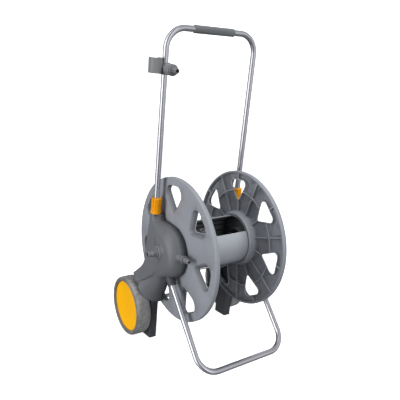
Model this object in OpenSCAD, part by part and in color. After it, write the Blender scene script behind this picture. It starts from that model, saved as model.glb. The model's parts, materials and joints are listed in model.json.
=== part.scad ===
// Hose reel cart: a free-standing drum on two moulded side frames, with two wheels at
// the back, a bent steel hoop that it rests on at the front, and a handle that slides
// down into the legs. X runs along the drum's axle, -Y is the front, +Z is up and the
// ground is Z = 0. The origin is on the ground, under the middle of the cart's outline.

/* [Drum] */
// Outside diameter of the two flanges
flange_d = 400; // [370:2:420]
// Width of a flange's rim along the axle
rim_w = 13; // [11:0.5:16]
// Radial height of the rim's bead
rim_bead = 7; // [4:0.5:9]
// Clear width between the flange rims
winding_w = 206; // [190:2:214]
// Wall of a flange's web
web_t = 3.5; // [3:0.5:5]
// Number of windows in each flange
window_count = 7; // [5:1:8]
// Distance from the axle to the inner tip of a window's scoop
scoop_tip_r = 102; // [98:1:108]
// Distance from the axle to the outer edge of a window's scoop
scoop_top_r = 178; // [174:1:182]
// Half the width of a scoop near its outer edge
scoop_half_w = 39; // [32:1:40]
// Half the width of the hole at the bottom of a scoop
hole_half_w = 31; // [24:1:33]
// Wall around a scoop
scoop_wall = 2.5; // [2:0.5:4]
// Thickness of the flange ribs
rib_t = 2.4; // [1.6:0.2:4]
// Distance from the axle to the ring of ribs
rib_ring_r = 143; // [138:1:150]
// Outside diameter of the drum core
core_d = 140; // [130:2:150]
// Wall of the drum core
core_wall = 3.5; // [2.5:0.5:5]
// Wall of the socket that holds an end of the core
socket_wall = 7.5; // [6:0.5:9]
// Depth of that socket, measured inwards from the rim
socket_depth = 15; // [10:1:20]
// Angle that the core's opening covers
opening_angle = 70; // [50:1:90]
// Angle of the opening's front edge above the horizontal
opening_start = 31; // [20:1:45]

/* [Hub] */
// Height of the drum's axle above the ground
hub_h = 294; // [285:1:310]
// Radius of the drum's hollow journals
journal_r = 11; // [10:0.5:12]
// Radial running clearance of shafts and wheels
running_gap = 0.05; // [0.03:0.01:0.1]
// Gap between a flange and the side plate
side_gap = 6; // [5:0.5:8]
// Wall of a hub bush
bush_wall = 4; // [3:0.5:5]
// Radius of the boss that carries the hub bush
hub_boss_r = 24; // [22:0.5:28]
// Bore radius of the water way
water_r = 5; // [3:0.5:5.5]

/* [Side frames] */
// Distance from the cart's middle to the axis of the steel tubes
tube_out = 140; // [138:0.5:143]
// Thickness of a side plate
plate_t = 6; // [5:0.5:7]
// Radius of a housing around the hub
housing_r = 74; // [70:1:78]
// Distance from the cart's middle to the top of a housing's dome at the hub
dome_out = 166; // [163:0.5:168]
// Distance from the cart's middle to a housing's skin away from its bulges
skin_out = 152; // [150:0.5:156]
// Width over which a housing's edge is rounded
housing_round = 30; // [26:1:30]
// Distance from the cart's middle to the face of the hub's boss
boss_out = 170.5; // [169:0.5:173]
// Radius of the hub's outer boss
boss_r = 19; // [17:0.5:22]
// Distance from the cart's middle to the top of the bulge over the wheel
fender_out = 186; // [178:0.5:190]
// Wall of a side cover
cover_wall = 2.5; // [2:0.5:3]
// Depth of a leg from front to back
leg_depth = 54; // [44:1:58]
// Width of a leg along the axle
leg_w = 23; // [22:0.5:25]
// Rounding of a leg's long edges
leg_round = 4; // [2:0.5:6]
// Height at the top of the leg's box, measured from the hub
leg_top = 5; // [0:1:12]

/* [Tubes] */
// Outside diameter of the steel tubes
tube_d = 16; // [15:0.5:17]
// Wall of the steel tubes
tube_wall = 1.2; // [0.8:0.1:2]
// Radius of the bends at their middle
bend_r = 52; // [44:1:60]
// Lean of the handle towards the front
handle_lean = 9.04; // [7:0.1:11]
// Distance behind the hub at which the handle crosses hub height
handle_back = 72.1; // [70:0.5:75]
// Length of the handle above hub height
handle_len = 584.9; // [540:5:620]
// Length of the handle below hub height when it is raised
handle_in = -20; // [-30:1:-10]
// Travel of the handle
handle_travel = 300; // [240:5:300]
// Rake of the hoop from the vertical
hoop_rake = 36.6; // [34:0.2:39]
// Distance behind the hub at which the hoop's line crosses hub height
hoop_back = 34.9; // [33:0.1:37]
// Distance from hub height down to the hoop's upper end, along the tube
hoop_end = 69; // [66:0.5:74]
// Distance from hub height down to the socket's mouth, along the tube
hoop_mouth = 111; // [104:1:114]
// Wall of the hoop's socket
hoop_socket_wall = 4; // [3:0.5:5]
// Length of the grip
grip_len = 125; // [100:1:150]
// Wall of the grip
grip_wall = 2.4; // [2:0.2:4]

/* [Collars] */
// Distance from hub height up to the collar's seat, along the tube
collar_seat = 96.5; // [94:0.5:98]
// Length of a collar
collar_len = 44.5; // [40:0.5:50]
// Radius of a collar at its foot
collar_foot_r = 15; // [14.75:0.25:16]
// Radius of a collar at its top
collar_top_r = 14; // [13:0.25:14.5]
// Number of flutes around a collar
flute_count = 12; // [8:1:16]
// Radius of a housing's neck under the collar
neck_r = 15; // [14.75:0.25:16]

/* [Wheels] */
// Outside diameter of the wheels
wheel_d = 176; // [164:2:178]
// Width of a wheel
wheel_w = 45.5; // [38:0.5:50]
// Distance from the cart's middle to a wheel's inner side
wheel_in = 152; // [151:0.5:154]
// Distance of the wheel's axle behind the hub
wheel_back = 158; // [154:1:164]
// Clearance under a wheel while the cart stands on its legs
wheel_lift = 1; // [0.5:0.1:3]
// Clearance between a tyre and the fender
arch_gap = 4; // [3:0.5:8]
// Diameter of the wheel axle
axle_d = 12; // [10:0.5:12.5]
// Radius of the yellow disc
disc_r = 75; // [70:0.5:76]
// Depth of the disc inside the tyre's rim
disc_recess = 7; // [5:0.5:10]
// Number of spokes in a wheel core
spoke_count = 8; // [5:1:12]

/* [Crank] */
// Distance from the hub to the crank pin
crank_reach = 115.4; // [100:0.2:125]
// Angle of the crank below the horizontal at rest
crank_angle = 17.6; // [10:0.2:25]
// Thickness of the crank arm
crank_t = 10; // [8:0.5:13]
// Length of the crank's knob
knob_len = 70; // [60:1:90]
// Largest radius of the knob
knob_r = 14; // [12:0.5:16]
// Radius of the crank pin
pin_r = 4; // [3:0.25:5]

/* [Holder] */
// Distance from the crossbar down to the middle of the holder's clamp, along the tube
holder_drop = 99.9; // [90:0.1:130]
// Height of the holder's clamp
holder_h = 29; // [24:1:34]
// Radius of the holder's front barrel
barrel_r = 14.5; // [13:0.5:15.5]
// Length of the barrel in front of the tube
barrel_len = 42; // [36:1:46]
// Outside radius of the C clip
clip_r = 17.5; // [16:0.5:19]
// Wall of the C clip
clip_wall = 3; // [2.5:0.5:4]
// Height of the C clip
clip_h = 38; // [32:1:44]
// Half angle of the C clip's mouth
clip_mouth = 48; // [35:1:60]

/* [Hidden] */
$fn = 96;

// Small sizes that every piece shares
seat_gap = 0.3;
cut = 1;
edge = 1.2;

// Places along the axle, measured outwards from the cart's middle
rim_in = winding_w / 2;
rim_out = rim_in + rim_w;
web_in = rim_out - web_t;
plate_in = rim_out + side_gap;
plate_out = plate_in + plate_t;
wheel_out = wheel_in + wheel_w;
flange_r = flange_d / 2;
core_r = core_d / 2;
tube_r = tube_d / 2;
wheel_r = wheel_d / 2;
axle_r = axle_d / 2;
leg_inset = 1.5;

// Nipples
nipple_len = 27;
nipple_r = 8.5;
inlet_tip = boss_out + nipple_len;

// The crank, and the cart's outline that the origin follows
crank_in = max(boss_out, dome_out + seat_gap) + 1.5;
crank_out = crank_in + crank_t;
knob_in = crank_out + 4;
knob_out = knob_in + knob_len;
arch_r = wheel_r + arch_gap;
wheel_h = wheel_r + wheel_lift;
wheel_up = wheel_h - hub_h;
hoop_bar_back = hoop_back - (hub_h - tube_r) * tan(hoop_rake);
outline_front = min(hoop_bar_back - tube_r, -flange_r);
outline_back = wheel_back + wheel_r;
outline_left = max(inlet_tip, wheel_out);
hub_x = (outline_left - knob_out) / 2;
hub_y = -(outline_front + outline_back) / 2;

// Circular arc of points from angle a to angle b about [x, y]
function arc(x, y, r, a, b, n) = [
  for (i = [0:n]) let (t = a + (b - a) * i / n) [x + r * cos(t), y + r * sin(t)]
];

// Direction in which a straight side leaves the round corners p and q, each [x, y, r]
function side_normal(p, q) =
  atan2(q[1] - p[1], q[0] - p[0]) - acos((p[2] - q[2]) / norm([q[0] - p[0], q[1] - p[1]]));

// Outline around round corners that are listed counter-clockwise. A corner with a negative
// radius is hollow, and one may carry its own number of steps as a fourth value
function rounded_outline(corners, n) = [
  for (i = [0:len(corners) - 1])
    let (
      m = len(corners),
      before = corners[(i + m - 1) % m],
      here = corners[i],
      after = corners[(i + 1) % m],
      a = side_normal(before, here),
      turn = (side_normal(here, after) - a + 720) % 360,
      steps = len(here) > 3 ? here[3] : n
    )
    each arc(here[0], here[1], here[2], a, here[2] > 0 ? a + turn : a + turn - 360, steps)
];

// Solid through closed rings of as many points each, from the first one up to the last one
module skin(rings) {
  m = len(rings[0]);
  last = (len(rings) - 1) * m;
  polyhedron(
    points = [for (r = rings) each r],
    faces = concat(
      [[for (i = [0:m - 1]) i], [for (i = [m - 1:-1:0]) last + i]],
      [for (j = [0:len(rings) - 2], i = [0:m - 1]) let (k = (i + 1) % m)
        [j * m + i, (j + 1) * m + i, (j + 1) * m + k]],
      [for (j = [0:len(rings) - 2], i = [0:m - 1]) let (k = (i + 1) % m)
        [j * m + i, (j + 1) * m + k, j * m + k]]
    )
  );
}

function box_corners(w, h, r) = [
  [w / 2 - r, -h / 2 + r, r], [w / 2 - r, h / 2 - r, r],
  [-w / 2 + r, h / 2 - r, r], [-w / 2 + r, -h / 2 + r, r]
];

// The hub's middle, and a side's own frame there: x runs back, y up and z outwards
module at_hub() translate([hub_x, hub_y, hub_h]) children();
module outwards() rotate([90, 0, 90]) children();
module left() at_hub() mirror([1, 0, 0]) outwards() children();
module right() at_hub() outwards() children();
module at_wheel() translate([wheel_back, wheel_up, 0]) children();

// Along the handle's tube: z runs up the tube, k from hub height
module on_handle(k)
  translate([handle_back, 0, tube_out]) rotate([0, 0, handle_lean])
    translate([0, k, 0]) rotate([-90, 0, 0]) children();

// Along the hoop's tube: z runs down the tube, s from hub height
module on_hoop(s)
  translate([hoop_back, 0, tube_out]) rotate([0, 0, -hoop_rake])
    translate([0, -s, 0]) rotate([90, 0, 0]) children();

module cylinder_from(z0, z1, r) translate([0, 0, z0]) cylinder(r = r, h = z1 - z0);

module ring(r_out, r_in, h) {
  difference() {
    cylinder(r = r_out, h = h);
    translate([0, 0, -cut]) cylinder(r = r_in, h = h + 2 * cut);
  }
}

// Bent tube: crossbar along X at the origin, two legs up along Z
module bent_rod(r, half_span, leg, bend) {
  straight = half_span - bend;
  translate([-straight, 0, 0]) rotate([0, 90, 0]) cylinder(r = r, h = 2 * straight);
  for (m = [0, 1]) mirror([m, 0, 0]) {
    translate([half_span, 0, bend]) cylinder(r = r, h = leg - bend);
    translate([straight, 0, bend]) rotate([90, 0, 0]) rotate([0, 0, -90])
      rotate_extrude(angle = 90) translate([bend, 0]) circle(r = r);
  }
}

module bent_tube(half_span, leg, bend) {
  difference() {
    bent_rod(tube_r, half_span, leg, bend);
    bent_rod(tube_r - tube_wall, half_span, leg + cut, bend);
  }
}

// Countersunk screw: head's face at z = 0, shank along +z
screw_r = 1.9;
screw_head_r = 4;
screw_head_h = 2.4;
screw_gap = 0.1;
flange_screw_len = 14;
crank_screw_len = 14;
hoop_screw_len = 29;
hoop_hole_len = hoop_screw_len + 3;
module screw(length) {
  cylinder(r1 = screw_head_r, r2 = screw_r, h = screw_head_h);
  translate([0, 0, screw_head_h]) cylinder(r = screw_r, h = length - screw_head_h);
}
module screw_hole(length) {
  cylinder(r1 = screw_head_r + screw_gap, r2 = screw_r + screw_gap, h = screw_head_h);
  translate([0, 0, -cut]) cylinder(r = screw_head_r + screw_gap, h = cut);
  translate([0, 0, screw_head_h])
    cylinder(r = screw_r + screw_gap, h = length - screw_head_h + screw_gap);
}

// Quick-connect male nipple: collar, locking groove, lip and tip, bored along z
module nipple(length, r, bore) {
  rotate_extrude()
    polygon([
      [bore, 0], [r + 4.5, 0], [r + 4.5, 3.4], [r + 3.9, 4], [r + 0.2, 4],
      [r - 0.2, length * 0.36], [r + 1.2, length * 0.42], [r + 1.2, length * 0.55],
      [r - 1.2, length * 0.64], [r - 1.2, length * 0.72], [r - 0.5, length * 0.74],
      [r - 0.5, length * 0.9], [r - 1.3, length], [bore, length]
    ]);
}

// Drum flanges
hub_plate_in = rim_in - 7;
hub_plate_r = 30;
scoop_tip_round = 11;
scoop_corner_round = 24;
hole_tip_r = 117;
hole_top_r = 174;
hole_tip_round = 6;
hole_corner_round = 11;
scoop_steps = [[0, 0], [0.15, 0.1], [0.62, 0.5], [1, 1]];
window_pitch = 360 / window_count;
spoke_boss_r = 6;
spoke_hole_r = 2.5;
rib_in = rim_in + 1;

// Corners of a scoop at a share t of the way from its mouth to its hole
function between(a, b, t) = a + (b - a) * t;
function scoop_corners(t, grow) =
  let (
    tip = between(scoop_tip_round, hole_tip_round, t),
    round = between(scoop_corner_round, hole_corner_round, t),
    x = between(scoop_half_w - scoop_corner_round, hole_half_w - hole_corner_round, t),
    y = between(scoop_top_r, hole_top_r, t) - round
  )
  [
    [0, between(scoop_tip_r, hole_tip_r, t) + tip, tip + grow],
    [x, y, round + grow], [-x, y, round + grow]
  ];

// Scoop that draws in like a bowl from the outer face at z = 0 to its hole at z = depth.
// Its wall starts one step down, inside the web
module scoop(grow, depth, first)
  skin([for (i = [first:len(scoop_steps) - 1]) let (s = scoop_steps[i])
    [for (p = rounded_outline(scoop_corners(s[0], grow), 6)) [p[0], p[1], s[1] * depth]]]);

module rib(r_in, r_out) translate([-rib_t / 2, r_in]) square([rib_t, r_out - r_in]);

module flange_ribs() {
  bead_r = flange_r - rim_bead + edge;
  for (i = [0:window_count - 1]) {
    rotate(i * window_pitch) rib(core_r + socket_wall, bead_r);
    rotate((i + 0.5) * window_pitch) {
      rib(core_r + socket_wall, bead_r);
      translate([0, rib_ring_r - 3]) circle(r = spoke_boss_r);
    }
  }
  difference() {
    circle(r = rib_ring_r + rib_t / 2);
    circle(r = rib_ring_r - rib_t / 2);
  }
}

module flange_disc() {
  lip_r = core_r + seat_gap;
  bead_r = flange_r - rim_bead;
  rotate_extrude()
    polygon([
      [journal_r + running_gap, hub_plate_in], [hub_plate_r, hub_plate_in],
      [hub_plate_r, web_in], [lip_r, web_in], [lip_r, rim_in - socket_depth],
      [core_r + socket_wall - 2, rim_in - socket_depth],
      [core_r + socket_wall, rim_in - socket_depth + 2], [core_r + socket_wall, rim_in - 6],
      [core_r + socket_wall + 4, rim_in - 4], [core_r + socket_wall + 4, web_in],
      [bead_r, web_in], [bead_r, rim_in + edge], [bead_r + edge, rim_in],
      [flange_r - 2 * edge, rim_in], [flange_r - edge * 0.6, rim_in + edge * 0.6],
      [flange_r, rim_in + 2 * edge], [flange_r, rim_out - 2 * edge],
      [flange_r - edge * 0.6, rim_out - edge * 0.6], [flange_r - 2 * edge, rim_out],
      [journal_r + running_gap, rim_out]
    ]);
}

flange_screw_r = 22;
module flange_screw_places()
  for (i = [0:2]) rotate(i * 120 + 30) translate([flange_screw_r, 0, 0]) children();

module at_face() translate([0, 0, rim_out]) rotate([0, 180, 0]) children();
module flange() {
  difference() {
    union() {
      flange_disc();
      translate([0, 0, rib_in]) linear_extrude(height = web_in + cut / 2 - rib_in) flange_ribs();
      for (i = [0:window_count - 1]) rotate([0, 0, i * window_pitch])
        at_face() scoop(scoop_wall, rim_w - edge, 1);
    }
    for (i = [0:window_count - 1]) rotate([0, 0, i * window_pitch])
      translate([0, 0, cut / 10]) at_face() scoop(0, rim_w + cut, 0);
    for (i = [0:window_count - 1]) rotate([0, 0, (i + 0.5) * window_pitch])
      translate([0, rib_ring_r - 3, rib_in - cut]) cylinder(r = spoke_hole_r, h = web_in - rib_in);
    flange_screw_places() translate([0, 0, hub_plate_in - cut])
      cylinder(r = screw_r + screw_gap, h = flange_screw_len - shaft_flange_t + 2 + cut);
  }
}
module left_flange() color([0.53, 0.54, 0.57]) left() flange();
module right_flange() color([0.53, 0.54, 0.57]) right() flange();

// Drum core: a tube seated in the flanges' sockets, with an opening at its upper front
opening_half_w = rim_in - socket_depth - 0.5;
module drum_core() color([0.56, 0.57, 0.6]) right() {
  difference() {
    translate([0, 0, -web_in]) ring(core_r, core_r - core_wall, 2 * web_in);
    rotate([0, 0, 180 - opening_start - opening_angle]) rotate_extrude(angle = opening_angle)
      translate([core_r - 2 * core_wall, -opening_half_w])
        square([4 * core_wall, 2 * opening_half_w]);
  }
}

// Shafts that carry the drum: hollow for the water on the left, solid on the right
shaft_flange_r = 28;
shaft_flange_t = 4;
shaft_end = boss_out - cover_wall - 7;
seal_bore_r = 7;
seal_depth = 18;
shaft_in = hub_plate_in - shaft_flange_t;
stub_in = shaft_in - 14;
module shaft_body() {
  translate([0, 0, stub_in]) cylinder(r = journal_r, h = shaft_end - stub_in);
  translate([0, 0, shaft_in]) cylinder(r = shaft_flange_r, h = shaft_flange_t);
}
module shaft_screw_holes()
  flange_screw_places() translate([0, 0, shaft_in]) screw_hole(shaft_flange_t + cut);

module water_shaft() color([0.2, 0.2, 0.21]) left() {
  difference() {
    shaft_body();
    translate([0, 0, stub_in - cut]) cylinder(r = water_r, h = shaft_end - stub_in + 2 * cut);
    translate([0, 0, shaft_end - seal_depth]) cylinder(r = seal_bore_r, h = seal_depth + cut);
    shaft_screw_holes();
  }
}
drive_r = 7.5;
drive_flat = 5.5;
drive_in = shaft_end - 2;
drive_out = crank_out - 3;
module crank_shaft() color([0.2, 0.2, 0.21]) right() {
  difference() {
    union() {
      shaft_body();
      difference() {
        cylinder_from(drive_in, drive_out, drive_r);
        translate([-drive_r, drive_flat, drive_in])
          cube([2 * drive_r, drive_r, drive_out - drive_in + cut]);
      }
    }
    translate([0, 0, drive_out - crank_screw_len])
      cylinder(r = screw_r + screw_gap, h = crank_screw_len + cut);
    shaft_screw_holes();
  }
}
module flange_screws() color([0.72, 0.73, 0.75]) {
  left() flange_screw_places() translate([0, 0, shaft_in]) screw(flange_screw_len);
  right() flange_screw_places() translate([0, 0, shaft_in]) screw(flange_screw_len);
}

// Water way inside the core: nut, elbow and the connector that the hose pushes onto
nut_len = 20;
nut_r = 19;
nut_in = stub_in - nut_len + 8;
elbow_r = 9;
elbow_ball_r = 11;
elbow_angle = 112;
elbow_mid = nut_in - 32;
connector_at = 20;
module shaft_nut() color([0.42, 0.43, 0.45]) left() {
  difference() {
    union() {
      cylinder_from(nut_in, nut_in + nut_len, nut_r - 1.5);
      for (i = [0:11]) rotate([0, 0, i * 30]) translate([nut_r - 2.4, 0, 0])
        cylinder_from(nut_in + 2, nut_in + nut_len - 2, 2.2);
    }
    cylinder_from(stub_in - seat_gap, nut_in + nut_len + cut, journal_r + running_gap);
    cylinder_from(nut_in - cut, stub_in, elbow_r + running_gap);
  }
}
module at_elbow() translate([0, 0, elbow_mid]) rotate([0, 0, elbow_angle]) children();
module elbow_rod(r, ball_r, over) {
  at_elbow() {
    cylinder(r = r, h = stub_in - seat_gap - elbow_mid + over);
    rotate([0, 90, 0]) cylinder(r = r, h = connector_at + over);
    sphere(r = ball_r);
  }
}
module hose_elbow() color([0.3, 0.3, 0.32]) left() {
  difference() {
    elbow_rod(elbow_r, elbow_ball_r, 0);
    elbow_rod(water_r, water_r + 0.5, cut);
  }
}
module hose_connector() color([0.45, 0.46, 0.48]) left()
  at_elbow() translate([connector_at, 0, 0]) rotate([0, 90, 0])
    nipple(nipple_len + 4, nipple_r, water_r);

// Round corners of a housing, seen along the axle: [back, up, radius, steps, share of the
// edge's rounding]. A hollow corner lies beside the corner that it runs into
neck_len = collar_seat;
function handle_x(k) = handle_back - k * sin(handle_lean);
function handle_y(k) = k * cos(handle_lean);
function beside(p, angle, r, steps, share) =
  let (reach = p[2] + r + cut)
  [p[0] + reach * cos(angle), p[1] + reach * sin(angle), -r, steps, share];
hub_corner = [0, -3, housing_r, 14, 1];
neck_corner = [handle_x(neck_len) + 2.5, handle_y(neck_len) - 2, neck_r, 7, 0.38];
shoulder_corner = [79.5, -37, 43, 2, 0.8];
shin_corner = [wheel_back - 74.5, wheel_up + 56, 29, 4, 0.85];
axle_corner = [wheel_back, wheel_up + 4, axle_r + 14, 4, 0.5];
tail_corner = [wheel_back + 25, wheel_up + 82, 13, 4, 0.33];
tail_hollow = beside(shoulder_corner, 1, 59, 5, 0.8);
throat_hollow = beside(neck_corner, 190, 12, 4, 0.38);
shin_hollow = beside(hub_corner, 263, 35, 4, 0.6);
housing_corners = [
  shin_corner, axle_corner, tail_corner, tail_hollow, shoulder_corner,
  neck_corner, throat_hollow, hub_corner, shin_hollow
];
function housing_outline(inset, draw) =
  rounded_outline([for (c = housing_corners) [c[0], c[1], c[2] - inset - draw * c[4], c[3]]], 4);

// Crown of a housing's skin: a dome at the hub and a bulge over the top of the wheel
hub_dome_r = 88;
bulge_lip = arch_r + 3;
bulge_angle = 123;
bulge_turn = 33;
bulge_reach = 34;
function crown(x, y) =
  let (
    back = x - wheel_back,
    up = y - wheel_up,
    turn = (atan2(up, back) - bulge_angle) / bulge_turn,
    away = (norm([back, up]) - bulge_lip) / bulge_reach
  )
  skin_out + (dome_out - skin_out) * exp(-pow(norm([x, y]) / hub_dome_r, 4))
    + (fender_out - skin_out) * exp(-turn * turn - away * away);

// A housing's skin is a pillow: its edge rises in a quarter ellipse, then its rings close up
// around one point. Its two sides are one solid, from the inner middle to the outer one
pillow_mid = [wheel_back - 62, wheel_up + 95];
function edge_rings(inset, steps) = [
  for (j = [0:steps]) let (a = 90 * j / steps)
    [for (p = housing_outline(inset, housing_round * (1 - cos(a))))
      [p[0], p[1], plate_out + sin(a) * (crown(p[0], p[1]) - inset - plate_out)]]
];
function mid_rings(inset, steps) = [
  for (j = [1:steps]) let (t = 0.97 * j / steps)
    [for (e = housing_outline(inset, housing_round))
      let (p = between([e[0], e[1]], pillow_mid, t), q = j == steps ? pillow_mid : p)
      [p[0], p[1], crown(q[0], q[1]) - inset]]
];
function pillow_rings(inset, edge_steps, mid_steps) =
  concat(edge_rings(inset, edge_steps), mid_rings(inset, mid_steps));
function backwards(list) = [for (i = [len(list) - 1:-1:0]) list[i]];
module housing_skin()
  skin(concat(backwards(pillow_rings(cover_wall, 5, 2)), pillow_rings(0, 6, 3)));
module above_seat() on_handle(neck_len) cylinder(r = 3 * neck_r, h = 3 * neck_r);
module wheel_arch() at_wheel() cylinder_from(plate_out - cut, fender_out + cut, arch_r);

// Side frame: plate, leg, tube guide, hub boss, axle boss and hoop socket in one moulding
guide_r = neck_r - cover_wall - 2 * seat_gap;
well_r = tube_r + 0.4;
guide_len = 45;
guide_top = collar_seat - cover_wall - 2 * seat_gap;
well_end = handle_in + handle_travel + 7;
hoop_bore_end = hoop_end - 1;
socket_cap = 4;
socket_web_t = 10;
holder_at = handle_len - holder_drop;
screw_boss_r = 4.4;
screw_boss_h = 7;
function place_in(c, angle) =
  let (reach = c[2] - screw_boss_r - 1.2) [c[0] + reach * cos(angle), c[1] + reach * sin(angle)];
function cover_screw_places() =
  [place_in(hub_corner, 150), place_in(shin_corner, 200), place_in(shoulder_corner, 10)];

module leg_box(grow) {
  top = leg_top / cos(handle_lean);
  bottom = hub_h / cos(handle_lean) + leg_depth;
  difference() {
    on_handle(-bottom) linear_extrude(height = bottom + top + grow)
      translate([0, leg_inset])
        polygon(rounded_outline(box_corners(leg_depth + 2 * grow, leg_w + 2 * grow, leg_round), 4));
    translate([0, -hub_h - 2 * leg_depth, 0])
      cube([2 * hub_h, 4 * leg_depth, 2 * hub_h], center = true);
  }
}

module frame_solids(grow) {
  leg_box(grow);
  on_handle(0) cylinder(r = guide_r + grow, h = guide_top + grow);
  cylinder_from(plate_in, bush_out + grow, hub_boss_r + grow);
  on_hoop(hoop_end - socket_cap)
    cylinder(r = tube_r + hoop_socket_wall + grow, h = hoop_mouth - hoop_end + socket_cap);
  on_hoop(hoop_end + socket_cap)
    translate([-socket_web_t / 2 - grow, plate_out - tube_out - cut, 0])
      cube([socket_web_t + 2 * grow, tube_out - plate_out + cut, hoop_mouth - hoop_end - 14]);
}

module side_frame() {
  difference() {
    union() {
      difference() {
        translate([0, 0, plate_in]) linear_extrude(height = plate_t)
          polygon([for (p = housing_outline(0, 0)) [p[0], p[1]]]);
        above_seat();
      }
      frame_solids(0);
      at_wheel() cylinder_from(plate_in, wheel_in - 2, axle_r + 12);
    }
    on_handle(-well_end) cylinder(r = well_r, h = well_end + guide_top - guide_len);
    on_handle(guide_top - guide_len - cut)
      cylinder(r = tube_r + running_gap, h = guide_len + 3 * cut);
    on_hoop(hoop_bore_end) cylinder(r = tube_r + running_gap, h = hoop_mouth);
    cylinder_from(plate_in - cut, dome_out, journal_r + bush_wall + 2 * running_gap);
    at_wheel() cylinder_from(plate_in - cut, wheel_in, axle_r + running_gap);
    for (p = cover_screw_places()) translate([p[0], p[1], plate_in]) screw_hole(plate_t + cut);
    hoop_screw_place() screw_hole(hoop_hole_len);
  }
}
module left_side_frame() color([0.36, 0.37, 0.39]) left() side_frame();
module right_side_frame() color([0.36, 0.37, 0.39]) right() side_frame();

// Side cover: domed shell over the plate, with the neck, the fender and the hub's boss
module side_cover() {
  difference() {
    union() {
      difference() {
        housing_skin();
        above_seat();
        wheel_arch();
      }
      for (p = cover_screw_places()) translate([p[0], p[1], plate_out])
        cylinder(r = screw_boss_r, h = screw_boss_h);
      cylinder_from(dome_out - cover_wall - cut, boss_out - 1, boss_r);
      cylinder_from(boss_out - 1.5, boss_out, boss_r - 3);
    }
    minus_frame();
    cylinder_from(dome_out - cover_wall - 5, boss_out + cut, drive_r + 1);
    for (p = cover_screw_places()) translate([p[0], p[1], plate_out - cut])
      cylinder(r = screw_r + screw_gap, h = screw_boss_h + cut - 1);
  }
}
module minus_frame() {
  frame_solids(seat_gap);
  on_handle(0) cylinder(r = tube_r + seat_gap, h = collar_seat + 9);
  on_hoop(hoop_mouth - 8) cylinder(r = tube_r + hoop_socket_wall + seat_gap, h = 30);
}

// Parking nipple on the front edge of the left cover
park_boss_r = 8.5;
park_spigot_r = 4;
park_spigot_len = 11;
park_bore_r = 3.2;
park_bore_depth = 14;
park_seat = housing_r + 16;
park_out = tube_out - 1;
park_len = 25;
module park_place(d) translate([-d, 0, park_out]) rotate([0, -90, 0]) children();
module left_side_cover() color([0.38, 0.39, 0.42]) left() {
  difference() {
    union() {
      side_cover();
      park_place(housing_r - park_boss_r)
        cylinder(r = park_boss_r, h = park_seat - housing_r + park_boss_r);
    }
    park_place(park_seat - park_spigot_len - cut)
      cylinder(r = park_spigot_r + screw_gap, h = park_spigot_len + 2 * cut);
  }
}
module right_side_cover() color([0.38, 0.39, 0.42]) right() side_cover();
module parking_nipple() color([0.4, 0.41, 0.44]) left() {
  park_place(park_seat) difference() {
    union() {
      nipple(park_len, nipple_r - 2, 0);
      translate([0, 0, -park_spigot_len]) cylinder(r = park_spigot_r, h = park_spigot_len + cut);
    }
    translate([0, 0, park_len - park_bore_depth]) cylinder(r = park_bore_r, h = park_bore_depth + cut);
  }
}

module cover_screws() color([0.72, 0.73, 0.75]) {
  left() cover_screw_set();
  right() cover_screw_set();
}
module cover_screw_set()
  for (p = cover_screw_places()) translate([p[0], p[1], plate_in])
    screw(plate_t + screw_boss_h - 1.5);

// Hubs
bush_flange_r = 19;
bush_flange_t = 2;
bush_out = dome_out - cover_wall - 4;
module hub_bush() {
  difference() {
    union() {
      cylinder_from(plate_in - bush_flange_t, bush_out, journal_r + bush_wall + running_gap);
      cylinder_from(plate_in - bush_flange_t, plate_in, bush_flange_r);
    }
    cylinder_from(plate_in - bush_flange_t - cut, bush_out + cut, journal_r + running_gap);
  }
}
module left_hub_bush() color([0.86, 0.86, 0.83]) left() hub_bush();
module right_hub_bush() color([0.86, 0.86, 0.83]) right() hub_bush();

spigot_r = seal_bore_r - running_gap;
spigot_end = shaft_end - seal_depth + 2;
groove_at = shaft_end - 8;
module inlet_nipple() color([0.42, 0.43, 0.45]) left() {
  difference() {
    union() {
      translate([0, 0, boss_out]) nipple(nipple_len, nipple_r, water_r);
      cylinder_from(spigot_end, boss_out + 1, spigot_r);
    }
    cylinder_from(spigot_end - cut, inlet_tip + cut, water_r - 1);
    translate([0, 0, groove_at]) ring(spigot_r + cut, spigot_r - 1.2, 2.4);
  }
}
module inlet_seal() color([0.08, 0.08, 0.08]) left()
  translate([0, 0, groove_at + 1.2]) rotate_extrude() translate([spigot_r - 0.55, 0]) circle(r = 0.5);

// Hoop
hoop_bar_drop = hub_h - tube_r;
hoop_leg = hoop_bar_drop / cos(hoop_rake) - hoop_end;
module front_hoop() color([0.78, 0.79, 0.82]) at_hub() {
  difference() {
    translate([0, hoop_bar_back, -hoop_bar_drop]) rotate([-hoop_rake, 0, 0])
      bent_tube(tube_out, hoop_leg, bend_r);
    outwards() hoop_screw_cut();
    mirror([1, 0, 0]) outwards() hoop_screw_cut();
  }
}
module hoop_screw_cut() hoop_screw_place() cylinder(r = screw_r + screw_gap, h = hoop_hole_len);
module hoop_screw_place()
  on_hoop(hoop_end + 12) translate([0, plate_in - tube_out, 0]) rotate([-90, 0, 0]) children();
module hoop_screws() color([0.72, 0.73, 0.75]) {
  left() hoop_screw_place() screw(hoop_screw_len);
  right() hoop_screw_place() screw(hoop_screw_len);
}

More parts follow.
